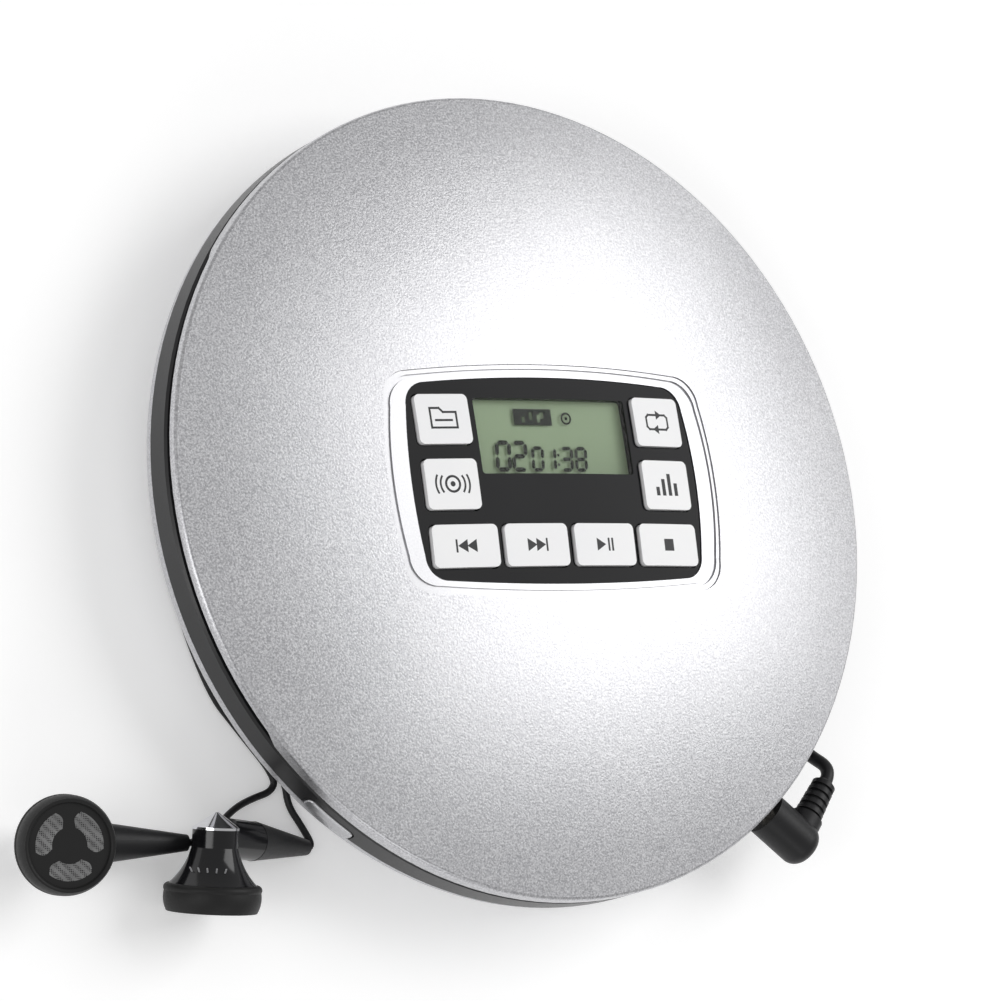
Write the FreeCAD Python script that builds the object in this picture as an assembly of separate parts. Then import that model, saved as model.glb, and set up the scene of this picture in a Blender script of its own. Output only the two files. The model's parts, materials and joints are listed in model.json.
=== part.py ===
import FreeCAD, Part
import math
import os
from FreeCAD import Vector

# Portable disc player with wired earbuds. Millimetres. Origin under the middle of the player, on
# the surface it stands on; +Z up through the lid, +Y towards the lid hinge, +X to the right of the keys.

# outer form
rimR = 71.0             # lid and side ring
crownZ = 27.8           # top of the dome
lidEdgeZ = 19.2         # where the dome meets the lid's side wall
lidLipZ = 16.6          # lower edge of the lid's side wall
ringTopZ = 16.2
ringBottomZ = 11.3
footHeight = 1.5        # also the height of the flat bottom
shoulderR = 5.0         # rounding between bowl and ring
bowlSlope = math.radians(22)
shellWall = 1.6
lidWall = 1.4
reliefAngles = (146.0, 214.5)   # the lid's lip is raised here for a fingertip
reliefHeight = 1.1

# control panel on the lid
panelHalf = (29.9, 18.1)
bezelHalf = (34.3, 20.4)
panelSink = 0.45
panelThick = 1.4
keyRise = 0.25
keyTravel = 0.6
keyGap = 0.22
lcdHalf = (15.8, 6.6)
lcdY = 7.7
sideKeyHalf = (5.1, 4.35)
rowKeyHalf = (6.35, 3.65)
rowKeyY = -11.4
keyPlaces = {
    "key_folder": (-22.4, 10.5, sideKeyHalf), "key_skip_guard": (-22.4, -0.8, sideKeyHalf),
    "key_mode": (22.4, 10.5, sideKeyHalf), "key_sound": (22.4, -0.8, sideKeyHalf),
    "key_back": (-21.2, rowKeyY, rowKeyHalf), "key_forward": (-7.1, rowKeyY, rowKeyHalf),
    "key_play": (7.1, rowKeyY, rowKeyHalf), "key_stop": (21.2, rowKeyY, rowKeyHalf),
}

# disc well and mechanism
wellR = 61.0
deckZ = 17.2            # underside of the well's floor
deckThick = 0.8
discZ = 18.5            # underside of a disc on the turntable
plateZ = 15.4
plateThick = 0.8
lensStartY = -25.0
sledTravel = 32.0
rodX = 12.0
rodR = 1.5
gearAt = (22.55, -30.0)
motorAt = (34.1, -30.0)
running = 0.05          # radial clearance round a turning or sliding shaft

# lid hinge, on the rim at the back
hingeY = 68.2
hingeZ = 14.2
hingeR = 2.0
hingePinR = 0.8
barrelHalf = 11.4
lugX = (12.0, 16.5)

# battery bay for two AA cells, opening downwards
cellR = 7.1
cellY = (23.2, 37.8)
cellZ = 10.0
bayX = (-26.5, 26.5)
bayY = (15.6, 45.4)
bayWall = 1.5
doorX = 27.4
doorY = (14.4, 47.0)
doorThick = 1.2

# sockets and controls round the side ring: angle from +X
plugAngle = -41.0       # direction of the headphone socket's axis
plugLateral = -14.0     # its distance from the middle, along the rim
socketZ = 13.75
plugR = 1.75
collarR = 2.1
lineOutAngle = -22.0
chargeAngle = -7.0
holdAngle = 9.0
volumeAngle = 26.0
releaseAngle = -130.3

# cords
cordR = 1.2
thinR = 0.6
tuckR = (58.8, 61.25)   # the cord's two turns under the rim, inner first
thinTuckR = (64.35, 63.1)


def polar(r, angle, z=0.0):
    a = math.radians(angle)
    return Vector(r * math.cos(a), r * math.sin(a), z)


def box(x0, x1, y0, y1, z0, z1):
    return Part.makeBox(x1 - x0, y1 - y0, z1 - z0, Vector(x0, y0, z0))


def cyl(r, z0, z1, at=(0, 0)):
    return Part.makeCylinder(r, z1 - z0, Vector(at[0], at[1], z0))


def rod(r, start, end):
    run = end - start
    return Part.makeCylinder(r, run.Length, start, run)


def turned(rolled, angle):
    out = rolled.copy()
    out.rotate(Vector(0, 0, 0), Vector(0, 0, 1), angle)
    return out


def revolve(edges):
    """A full turn about Z of the outline that edges make in the XZ plane."""
    return Part.Face(Part.Wire(edges)).revolve(Vector(0, 0, 0), Vector(0, 0, 1), 360)


def outline(*points):
    """Edges through (r, z) points; a point given as ("arc", r, z) bends the edge to the next one."""
    edges, last, bend = [], None, None
    for p in points:
        if p[0] == "arc":
            bend = Vector(p[1], 0, p[2])
            continue
        here = Vector(p[0], 0, p[1])
        if last is not None:
            edges.append((Part.Arc(last, bend, here) if bend else Part.LineSegment(last, here)).toShape())
        last, bend = here, None
    return edges


def ringOf(r0, r1, z0, z1):
    return revolve(outline((r0, z0), (r1, z0), (r1, z1), (r0, z1), (r0, z0)))


def group(shapes):
    return Part.makeCompound(shapes)


def join(first, *others):
    return first.fuse(list(others)).removeSplitter()


# the dome is a sphere through the crown and the lid's edge
domeSag = crownZ - lidEdgeZ
domeR = ((rimR - 0.4) ** 2 + domeSag ** 2) / (2 * domeSag)


def domeZ(r, depth=0.0):
    """Height of the dome at radius r, or of the surface depth below it."""
    return crownZ - domeR + math.sqrt((domeR - depth) ** 2 - r ** 2)


def domeLayer(r, top, bottom):
    """The shell between two depths below the dome, out to radius r."""
    half = r / 2
    return revolve(outline(
        (0, domeZ(0, top)), ("arc", half, domeZ(half, top)), (r, domeZ(r, top)),
        (r, domeZ(r, bottom)), ("arc", half, domeZ(half, bottom)), (0, domeZ(0, bottom)),
        (0, domeZ(0, top))))


def bowed(halfW, halfH, bow, corner, z0, z1, grow=0.0):
    """A prism on a rectangle with bowed sides and round corners."""
    w, h = halfW + grow, halfH + grow
    cx, cy = w - bow - corner, h - bow - corner
    k = corner * (1 - math.sqrt(0.5))
    pts = []
    for sx, sy in ((1, 1), (-1, 1), (-1, -1), (1, -1)):
        side = (Vector(sx * (w - bow), sy * cy, z0), Vector(sx * (w - bow - k), sy * (h - bow - k), z0),
                Vector(sx * cx, sy * (h - bow), z0))
        pts.append(side if sx * sy > 0 else side[::-1])
    middles = (Vector(0, h, z0), Vector(-w, 0, z0), Vector(0, -h, z0), Vector(w, 0, z0))
    edges = []
    for i, (a, m, b) in enumerate(pts):
        edges.append(Part.Arc(a, m, b).toShape())
        edges.append(Part.Arc(b, middles[i], pts[(i + 1) % 4][0]).toShape())
    return Part.Face(Part.Wire(edges)).extrude(Vector(0, 0, z1 - z0))


def roundedBox(halfW, halfH, corner, z0, z1, at):
    solid = box(at[0] - halfW, at[0] + halfW, at[1] - halfH, at[1] + halfH, z0, z1)
    upright = [e for e in solid.Edges if abs(e.tangentAt(e.FirstParameter).z) > 0.9]
    return solid.makeFillet(corner, upright)


def toothed(tipR, rootR, teeth, z0, z1, at, boreR):
    """A spur gear with plain tapered teeth."""
    pts = []
    for i in range(teeth):
        for share, r in ((0.0, rootR), (0.18, tipR), (0.42, tipR), (0.6, rootR)):
            a = 2 * math.pi * (i + share) / teeth
            pts.append(Vector(at[0] + r * math.cos(a), at[1] + r * math.sin(a), z0))
    gear = Part.Face(Part.makePolygon(pts + pts[:1])).extrude(Vector(0, 0, z1 - z0))
    return gear.cut(cyl(boreR, z0 - 1, z1 + 1, at))


def sector(r0, r1, a0, a1, z0, z1):
    """Part of a flat ring between two angles."""
    mid = (a0 + a1) / 2
    edges = [Part.Arc(polar(r1, a0, z0), polar(r1, mid, z0), polar(r1, a1, z0)).toShape(),
             Part.LineSegment(polar(r1, a1, z0), polar(r0, a1, z0)).toShape(),
             Part.Arc(polar(r0, a1, z0), polar(r0, mid, z0), polar(r0, a0, z0)).toShape(),
             Part.LineSegment(polar(r0, a0, z0), polar(r1, a0, z0)).toShape()]
    return Part.Face(Part.Wire(edges)).extrude(Vector(0, 0, z1 - z0))


def ringHole(angle, halfWidth, z0, z1, r0=64.0, r1=75.0):
    return turned(box(r0, r1, -halfWidth, halfWidth, z0, z1), angle)


def buttonBlock(half, z0, z1, r0, r1, corner):
    """A block across the ring at the release button, with its two top corners rounded."""
    block = box(r0, r1, -half, half, z0, z1)
    block = block.makeFillet(corner, [e for e in block.Edges if abs(e.tangentAt(e.FirstParameter).x) > 0.9
                                      and e.CenterOfMass.z > z1 - 0.01])
    return turned(block, releaseAngle)


def lipRamp(angle, side):
    """A wedge that lets the raised part of the lid's lip run out gently past one of its ends."""
    low, high, run = lidLipZ - 1, lidLipZ + reliefHeight, side * 2.6
    corners = [(-side * 0.01, low), (-side * 0.01, high), (run, lidLipZ), (run, low)]
    face = Part.Face(Part.makePolygon([Vector(68, y, z) for y, z in corners + corners[:1]]))
    return turned(face.extrude(Vector(5, 0, 0)), angle)


# headphone socket axis: s runs outwards, lateral counter-clockwise along the rim
plugOut = polar(1, plugAngle)
plugSide = polar(1, plugAngle + 90)


def plugPoint(lateral, s, z):
    return plugOut * s + plugSide * lateral + Vector(0, 0, z)


def socketBlock(halfWidth, s0, s1, z0, z1, angle, lateral=0.0):
    return turned(box(s0, s1, lateral - halfWidth, lateral + halfWidth, z0, z1), angle)


screwPlaces = [polar(52, a) for a in (8, 172, 205, 240, 305)]
earPlaces = [(-20.5, 8.0), (20.5, 8.0), (-20.5, -37.0), (20.5, -37.0)]
screwBoreR = 1.3
floorZ = footHeight + shellWall

# ---- base -------------------------------------------------------------------------------------


def bowlProfile():
    mid = math.radians(34)
    low = math.pi / 2 - bowlSlope
    centre = (rimR - shoulderR, ringBottomZ)

    def at(radius, angle):
        return centre[0] + radius * math.cos(angle), centre[1] - radius * math.sin(angle)

    outerFoot, innerFoot = at(shoulderR, low), at(shoulderR - shellWall, low)
    flatOuter = outerFoot[0] - (outerFoot[1] - footHeight) / math.tan(bowlSlope)
    flatInner = innerFoot[0] - (innerFoot[1] - floorZ) / math.tan(bowlSlope)
    return outline(
        (0, footHeight), (flatOuter, footHeight), outerFoot, ("arc",) + at(shoulderR, mid),
        at(shoulderR, 0), at(shoulderR - shellWall, 0), ("arc",) + at(shoulderR - shellWall, mid),
        innerFoot, (flatInner, floorZ), (0, floorZ), (0, footHeight))


def bottomShell():
    shell = revolve(bowlProfile())
    opening = box(-doorX - 0.25, doorX + 0.25, doorY[0] - 0.9, doorY[1] + 0.25, 0, floorZ + 1)
    shell = shell.cut(opening)
    gearPost = cyl(1.0, floorZ, 12.0, gearAt)
    plugs = [cyl(3.2, floorZ, floorZ + 1.2, (p.x, p.y)) for p in screwPlaces]
    shell = join(shell, gearPost, *plugs)
    for p in screwPlaces:
        shell = shell.cut(cyl(2.7, footHeight - 1, footHeight + 1.2, (p.x, p.y)))
        shell = shell.cut(cyl(screwBoreR, 0, floorZ + 2, (p.x, p.y)))
    return shell


def sideRing():
    ring = revolve(outline(
        (69.0, ringBottomZ), (rimR, ringBottomZ), (rimR, ringTopZ - 0.4), (rimR - 0.4, ringTopZ),
        (69.0, ringTopZ), (69.0, ringBottomZ)))
    ring = ring.cut(box(-lugX[1] - 0.25, lugX[1] + 0.25, 60, 75, 12.0, 20))
    ring = ring.cut(rod(collarR + 0.05, plugPoint(plugLateral, 60, socketZ), plugPoint(plugLateral, 80, socketZ)))
    ring = ring.cut(rod(collarR + 0.05, polar(60, lineOutAngle, socketZ), polar(80, lineOutAngle, socketZ)))
    ring = ring.cut(ringHole(chargeAngle, 4.6, socketZ - 1.9, socketZ + 1.9))
    ring = ring.cut(ringHole(holdAngle, 4.6, 12.7, 14.9))
    ring = ring.cut(cyl(7.4, 12.2, 15.0, (polar(65.1, volumeAngle).x, polar(65.1, volumeAngle).y)))
    return ring.cut(buttonBlock(5.3, ringBottomZ - 0.1, 14.2, 64, 75, 1.5))


def topDeck():
    floorTop = deckZ + deckThick
    deck = revolve(outline(
        (0, deckZ), (wellR, deckZ), (wellR, 15.0), (67.9, 15.0), (67.9, 11.9), (68.9, 11.9),
        (68.9, 16.0), (wellR + 1.2, 16.0), (wellR + 1.2, 19.2), (wellR, 19.2), (wellR, floorTop),
        (0, floorTop), (0, deckZ)))
    window = roundedBox(17.0, 37.4, 4.0, 10, 25, (0, -23.6)).common(cyl(60.4, 10, 25))
    deck = deck.cut(window).cut(box(-14.6, 14.6, -64.4, -58, 14.9, 16.5))
    bay = box(bayX[0] - bayWall, bayX[1] + bayWall, bayY[0] - bayWall, bayY[1] + bayWall, floorZ, deckZ)
    bay = bay.cut(box(*bayX, *bayY, floorZ - 1, deckZ + 1))
    posts = [cyl(3.0, floorZ + 1.2, deckZ, (p.x, p.y)) for p in screwPlaces]
    lugs = []
    for side in (-1, 1):
        x0, x1 = sorted((side * lugX[0], side * lugX[1]))
        lugs.append(rod(hingeR, Vector(x0, hingeY, hingeZ), Vector(x1, hingeY, hingeZ)).common(cyl(rimR, 5, 25)))
        lugs.append(box(x0, x1, wellR - 2, hingeY, 12.6, 15.6))
    back = box(-lugX[1] - 0.4, lugX[1] + 0.4, wellR + 2.2, 75, 11, 20)
    deck = join(deck.cut(back), bay, *posts)
    wellWall = cyl(wellR + 0.6, 5, 25)
    deck = join(deck, *[lug.cut(wellWall) if i % 2 else lug for i, lug in enumerate(lugs)])
    for p in screwPlaces:
        deck = deck.cut(cyl(screwBoreR, 0, 14.5, (p.x, p.y)))
    for side in (-1, 1):
        deck = deck.cut(rod(hingePinR, Vector(side * 11.5, hingeY, hingeZ), Vector(side * 15.0, hingeY, hingeZ)))
    deck = deck.cut(socketBlock(6.0, 54, 75, 9, 17.1, plugAngle, plugLateral))
    deck = deck.cut(socketBlock(4.4, 54, 75, 9, 17.1, lineOutAngle))
    deck = deck.cut(socketBlock(5.0, 58, 75, 9, 17.1, chargeAngle))
    deck = deck.cut(socketBlock(7.0, 65.6, 75, 9, 15.2, holdAngle))
    deck = deck.cut(cyl(7.6, 11, 15.2, (polar(65.1, volumeAngle).x, polar(65.1, volumeAngle).y)))
    deck = deck.cut(ringHole(releaseAngle, 6.9, 11, 15.2, 65.0))
    return deck.cut(ringHole(releaseAngle, 3.9, 11, 17.0, 62.7, 66.0))


def rubberFeet():
    feet = []
    for x, y in ((38, 30), (-38, 30), (-34, -34), (34, -34)):
        foot = cyl(5.0, 0, footHeight, (x, y))
        feet.append(foot.makeFillet(0.4, [e for e in foot.Edges if e.BoundBox.ZMax < 0.1]))
    return group(feet)


def caseScrews():
    screws = []
    for p in screwPlaces:
        head = cyl(2.5, footHeight + 0.2, footHeight + 1.2, (p.x, p.y))
        head = head.cut(box(p.x - 1.4, p.x + 1.4, p.y - 0.3, p.y + 0.3, 0, footHeight + 0.7))
        head = head.cut(box(p.x - 0.3, p.x + 0.3, p.y - 1.4, p.y + 1.4, 0, footHeight + 0.7))
        screws.append(join(head, cyl(screwBoreR, footHeight + 1.2, 12.5, (p.x, p.y))))
    return group(screws)


def hingePins():
    return group([rod(hingePinR, Vector(s * 6.0, hingeY, hingeZ), Vector(s * 15.0, hingeY, hingeZ))
                  for s in (-1, 1)])


def batteryDoor():
    door = box(-doorX, doorX, doorY[0], doorY[1], footHeight, footHeight + doorThick)
    pivotZ = footHeight + doorThick / 2
    edge = rod(doorThick / 2, Vector(-doorX, doorY[0], pivotZ), Vector(doorX, doorY[0], pivotZ))
    door = join(door, edge)
    grip = roundedBox(6.0, 1.6, 1.5, 0, footHeight + 0.4, (0, doorY[1] - 5.5))
    return door.cut(grip)


def batteryCells():
    cells = []
    for i, y in enumerate(cellY):
        flip = 1 if i else -1
        body = rod(cellR, Vector(-24.2 * flip, y, cellZ), Vector(23.4 * flip, y, cellZ))
        nub = rod(2.7, Vector(23.4 * flip, y, cellZ), Vector(24.6 * flip, y, cellZ))
        cells.append(join(body, nub))
    return group(cells)


def batteryContacts():
    contacts = []
    for y in cellY:
        for side in (-1, 1):
            x0, x1 = sorted((side * 26.1, side * 26.5))
            plate = box(x0, x1, y - 5, y + 5, 5, 15)
            bump = rod(2.2, Vector(side * 26.1, y, cellZ), Vector(side * 25.0, y, cellZ))
            contacts.append(join(plate, bump))
    return group(contacts)


# ---- disc mechanism ---------------------------------------------------------------------------


def chassisPlate():
    z1 = plateZ + plateThick
    plate = roundedBox(18.0, 35.45, 3.0, plateZ, z1, (0, -22.05))
    ears = [roundedBox(4.0, 4.5, 2.0, plateZ, z1, p) for p in earPlaces]
    tabs = []
    for y in (-63.6, -12.9):
        tabs += [box(s * rodX - 1.9, s * rodX + 1.9, y, y + 0.8, 9.4, z1) for s in (-1, 1)]
    neck = box(-13.9, 13.9, -63.6, -57.0, plateZ, z1)
    plate = join(plate, neck, *ears, *tabs)
    slot = roundedBox(5.6, 22.5, 3.0, plateZ - 1, z1 + 1, (0, -42.0))
    plate = plate.cut(slot).cut(cyl(5.0, plateZ - 1, z1 + 1))
    for side in (-1, 1):
        plate = plate.cut(rod(rodR, Vector(side * rodX, -70, 11.5), Vector(side * rodX, -10, 11.5)))
    for x, y in earPlaces:
        plate = plate.cut(cyl(1.1, plateZ - 1, z1 + 1, (x, y)))
    return plate


def chassisDampers():
    return group([join(cyl(2.2, plateZ + plateThick, deckZ, p), cyl(1.1, plateZ, plateZ + plateThick, p),
                       cyl(2.2, plateZ - 1.0, plateZ, p)) for p in earPlaces])


def guideRods():
    return group([rod(rodR, Vector(s * rodX, -63.8, 11.5), Vector(s * rodX, -11.9, 11.5)) for s in (-1, 1)])


def spindleMotor():
    motor = cyl(11.0, 8.0, plateZ)
    return motor.makeFillet(1.0, [e for e in motor.Edges if e.BoundBox.ZMax < 8.1]).cut(
        cyl(1.0 + running, 9.0, plateZ + 1))


def sledMotor():
    return join(cyl(6.5, 9.4, deckZ, motorAt), cyl(2.0, 9.0, 9.4, motorAt)).cut(
        cyl(0.5 + running, 8.0, 15.0, motorAt))


ballPlaces = [polar(6.6, a, discZ + 1.0) for a in (90, 210, 330)]


def turntableHub():
    hub = revolve(outline(
        (0, 9.2), (1.0, 9.2), (1.0, 16.4), (4.0, 16.4), (4.0, 17.0), (13.2, 17.0), (13.2, discZ),
        (7.4, discZ), (7.4, discZ + 1.5), (5.0, 21.2), (4.4, 21.4), (0, 21.4), (0, 9.2)))
    for b in ballPlaces:
        hub = hub.cut(Part.makeSphere(1.2, b))
    return hub


def hubBalls():
    return group([Part.makeSphere(1.2, b) for b in ballPlaces])


def pickupSled():
    y0, y1 = lensStartY - 5, lensStartY + 11
    body = roundedBox(15.8, 8.0, 1.5, 9.4, 14.9, (0, lensStartY + 3))
    yoke = box(-4.6, 4.6, lensStartY - 4.6, lensStartY + 4.6, 14.9, 15.9)
    rackY = lensStartY - 7.4
    rack = box(15.0, 17.2, rackY, rackY + 35.0, 9.4, 11.4)
    pitch = math.pi * 0.5
    teeth = []
    for i in range(int(34.0 / pitch)):
        y = rackY + 0.4 + i * pitch
        corners = [(17.2, y), (17.9, y + 0.35), (17.9, y + 0.75), (17.2, y + 1.1), (17.2, y)]
        face = Part.Face(Part.makePolygon([Vector(a, b, 9.4) for a, b in corners]))
        teeth.append(face.extrude(Vector(0, 0, 2.0)))
    sled = join(body, yoke, rack, *teeth)
    for side in (-1, 1):
        sled = sled.cut(rod(rodR + running, Vector(side * rodX, y0 - 5, 11.5), Vector(side * rodX, y1 + 5, 11.5)))
    return sled.cut(cyl(3.3, 15.2, 17, (0, lensStartY)))


def pickupLens():
    seat = cyl(3.3, 15.2, 16.3, (0, lensStartY))
    lens = Part.makeSphere(4.2, Vector(0, lensStartY, 16.9 - 4.2)).common(cyl(2.4, 16.3, 17.0, (0, lensStartY)))
    return join(seat, lens)


def driveGear():
    return join(toothed(4.4, 3.7, 16, 9.4, 11.4, gearAt, 1.0 + running),
                toothed(9.4, 8.7, 36, 7.4, 8.8, gearAt, 1.0 + running),
                cyl(3.0, 8.8, 9.4, gearAt).cut(cyl(1.0 + running, 8, 10, gearAt)))


def motorPinion():
    return join(toothed(2.0, 1.35, 9, 7.2, 8.9, motorAt, 0.4), cyl(0.5, 7.2, 14.5, motorAt))


# ---- electronics and rim controls ---------------------------------------------------------------


def mainBoard():
    board = sector(41.0, 66.0, -60, 31, 9.0, 10.0)
    board = board.cut(cyl(7.6, 8, 11, motorAt)).cut(cyl(5.2, 8, 11, gearAt))
    for p in screwPlaces:
        board = board.cut(cyl(3.3, 8, 11, (p.x, p.y)))
    return board


def headphoneSocket():
    block = socketBlock(5.6, 55.0, 65.4, 10.0, 16.4, plugAngle, plugLateral)
    collar = rod(collarR, plugPoint(plugLateral, 65.4, socketZ), plugPoint(plugLateral, 69.2, socketZ))
    bore = rod(plugR + running, plugPoint(plugLateral, 56.2, socketZ), plugPoint(plugLateral, 75, socketZ))
    return join(block, collar).cut(bore)


def lineOutSocket():
    block = socketBlock(4.0, 55.0, 67.4, 10.0, 16.4, lineOutAngle)
    collar = rod(collarR, polar(67.4, lineOutAngle, socketZ), polar(70.7, lineOutAngle, socketZ))
    bore = rod(1.8, polar(56.5, lineOutAngle, socketZ), polar(75, lineOutAngle, socketZ))
    return join(block, collar).cut(bore)


def chargeSocket():
    shell = socketBlock(4.4, 61.0, 70.5, socketZ - 1.7, socketZ + 1.7, chargeAngle)
    shell = shell.cut(socketBlock(3.9, 64.0, 75, socketZ - 1.2, socketZ + 1.2, chargeAngle))
    legs = socketBlock(3.0, 61.5, 66, 10.0, socketZ - 1.7, chargeAngle)
    tongue = socketBlock(3.2, 63.0, 69.6, socketZ - 0.3, socketZ + 0.3, chargeAngle)
    return join(shell, legs, tongue)


def holdKnob():
    knob = socketBlock(2.6, 66.4, 71.5, 13.0, 14.6, holdAngle, -1.4)
    return join(knob, socketBlock(4.0, 66.4, 67.6, 12.4, 14.7, holdAngle, -1.4))


def volumeWheel():
    at = polar(65.1, volumeAngle)
    wheel = toothed(7.0, 6.75, 60, 12.6, 14.6, (at.x, at.y), 1.2)
    return join(wheel, cyl(2.4, 11.2, 12.6, (at.x, at.y)).cut(cyl(1.2, 11, 13, (at.x, at.y))))


def volumePot():
    at = polar(65.1, volumeAngle)
    return join(cyl(2.6, 10.0, 11.0, (at.x, at.y)), cyl(1.2 - running, 11.0, 15.0, (at.x, at.y)))


def openButton():
    face = buttonBlock(5.0, 11.6, 13.9, 68.4, 75, 1.2).common(cyl(rimR + 0.3, 11, 16))
    stem = ringHole(releaseAngle, 3.0, 12.4, 14.6, 67.2, 68.4)
    flange = ringHole(releaseAngle, 6.6, 11.9, 14.9, 68.0, 68.6)
    return join(face.makeFillet(0.4, [e for e in face.Edges if e.CenterOfMass.Length > rimR - 0.4]), stem, flange)


# ---- lid ------------------------------------------------------------------------------------------

lidBossPlaces = [polar(44, a) for a in (40, 140, 220, 320)]
linerZ = 21.2


def lidShell():
    inner = rimR - 1.5
    shell = revolve(outline(
        (0, crownZ), ("arc", 36, domeZ(36)), (70.3, domeZ(70.3)), ("arc", 70.83, 18.98), (rimR, 18.5),
        (rimR, lidLipZ), (inner, lidLipZ), (inner, domeZ(inner, lidWall)),
        ("arc", 36, domeZ(36, lidWall)), (0, domeZ(0, lidWall)), (0, crownZ)))
    shell = shell.cut(bowed(*bezelHalf, 1.2, 5.2, 15, 30))
    shell = shell.cut(sector(68, 73, *reliefAngles, lidLipZ - 1, lidLipZ + reliefHeight))
    shell = shell.cut(lipRamp(reliefAngles[0], -1)).cut(lipRamp(reliefAngles[1], 1))
    barrel = rod(hingeR, Vector(-barrelHalf, hingeY, hingeZ), Vector(barrelHalf, hingeY, hingeZ))
    barrel = barrel.common(cyl(rimR, 5, 25))
    web = box(-barrelHalf, barrelHalf, 66.8, 69.0, hingeZ, 18.2)
    bosses = [cyl(2.4, linerZ + 0.7, domeZ(44, lidWall) + 0.7, (p.x, p.y)) for p in lidBossPlaces]
    shell = join(shell, barrel, web, *bosses)
    for p in lidBossPlaces:
        shell = shell.cut(cyl(0.9, linerZ, linerZ + 2.6, (p.x, p.y)))
    for side in (-1, 1):
        shell = shell.cut(rod(hingePinR + running, Vector(side * 5.5, hingeY, hingeZ),
                              Vector(side * 15.0, hingeY, hingeZ)))
    tongue = ringHole(releaseAngle, 3.0, 12.6, 20.4, 63.6, 65.0)
    nib = ringHole(releaseAngle, 3.0, 12.6, 13.6, 64.9, 65.5)
    return join(shell, tongue.common(domeLayer(66, 0.8, 12)), nib)


def lidLiner():
    liner = ringOf(9.0, 49.0, linerZ, linerZ + 0.7)
    for p in lidBossPlaces:
        liner = liner.cut(cyl(0.9, 20, 23, (p.x, p.y)))
    return liner


def lidScrews():
    return group([join(cyl(2.0, linerZ - 0.7, linerZ, (p.x, p.y)), cyl(0.9, linerZ, linerZ + 2.4, (p.x, p.y)))
                  for p in lidBossPlaces])


def bezelFrame():
    outer = bowed(*bezelHalf, 1.2, 5.2, 15, 30, -0.05)
    inner = bowed(*panelHalf, 0.95, 4.2, 15, 30)
    frame = outer.cut(inner).common(domeLayer(42, 0.25, 2.4))
    groove = bowed(*bezelHalf, 1.2, 5.2, 15, 30, -0.75).cut(bowed(*bezelHalf, 1.2, 5.2, 15, 30, -1.25))
    return frame.cut(groove.common(domeLayer(42, -1, 0.6)))


def controlPanel():
    panel = bowed(*panelHalf, 0.95, 4.2, 15, 30, -0.05).common(domeLayer(42, panelSink, panelSink + panelThick))
    for x, y, half in keyPlaces.values():
        panel = panel.cut(roundedBox(half[0] + keyGap, half[1] + keyGap, 1.1, 15, 30, (x, y)))
    return panel.cut(roundedBox(*lcdHalf, 0.6, 15, 30, (0, lcdY)))


def lcdWindow():
    return roundedBox(*lcdHalf, 0.6, 15, 30, (0, lcdY)).common(domeLayer(42, panelSink + 0.15, panelSink + 1.1))


def lcdModule():
    return box(-16.6, 16.6, 0.2, 15.4, 23.5, 24.9)


def keyBoard():
    return bowed(31.0, 18.6, 0.3, 3.0, 22.1, 23.1)


def keyPad():
    pad = bowed(30.0, 17.8, 0.3, 3.0, 23.1, 23.5)
    return pad.cut(box(-17, 17, 0, 15.6, 23, 24))


def keyCap(x, y, half):
    corner = 1.0
    cap = roundedBox(*half, corner, 15, 30, (x, y)).common(domeLayer(42, -keyRise, 1.7))
    stem = box(x - 2, x + 2, y - 1.5, y + 1.5, 24.2, domeZ(math.hypot(x, y), 1.2))
    return join(cap, stem)


# ---- headphone cord and earbuds -------------------------------------------------------------------

plugBodyR = 4.05
plugEnd = 82.0
armAt = 78.6            # the cord leaves the plug square to it, this far from the disc axis
armR = 2.95
armStart = plugPoint(plugLateral + 5.1, armAt, socketZ)
armRun = plugSide
reliefLength = 8.2
armEnd = armStart + armRun * reliefLength


def plugBody():
    body = rod(plugBodyR, plugPoint(plugLateral, 70.9, socketZ), plugPoint(plugLateral, plugEnd, socketZ))
    body = body.makeFillet(2.6, [e for e in body.Edges
                                 if e.BoundBox.DiagonalLength < 12 and e.CenterOfMass.Length > 81])
    arm = rod(armR, plugPoint(plugLateral, armAt, socketZ), armStart)
    return join(body, arm)


def plugTip():
    shaft = rod(plugR, plugPoint(plugLateral, 60.0, socketZ), plugPoint(plugLateral, 70.9, socketZ))
    nose = Part.makeCone(1.0, plugR, 3.5, plugPoint(plugLateral, 56.5, socketZ), plugOut)
    return join(shaft, nose)


def strainRelief():
    relief = Part.makeCone(2.2, 1.75, reliefLength - 0.5, armStart, armRun)
    ribs = [Part.makeCylinder(2.5 - 0.08 * i, 0.85, armStart + armRun * (0.7 + 1.5 * i), armRun) for i in range(5)]
    nose = Part.makeCone(2.1, 1.5, 1.2, armStart + armRun * (reliefLength - 1.2), armRun)
    return join(relief, nose, *ribs)


def circlePoints(r, first, last, count, z):
    """Corners of a route that follows a circle of radius r on the surface."""
    step = (last - first) / (count - 1)
    corner = r / math.cos(math.radians(step / 2))
    return [polar(corner, first + i * step, z) for i in range(count)]


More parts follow.
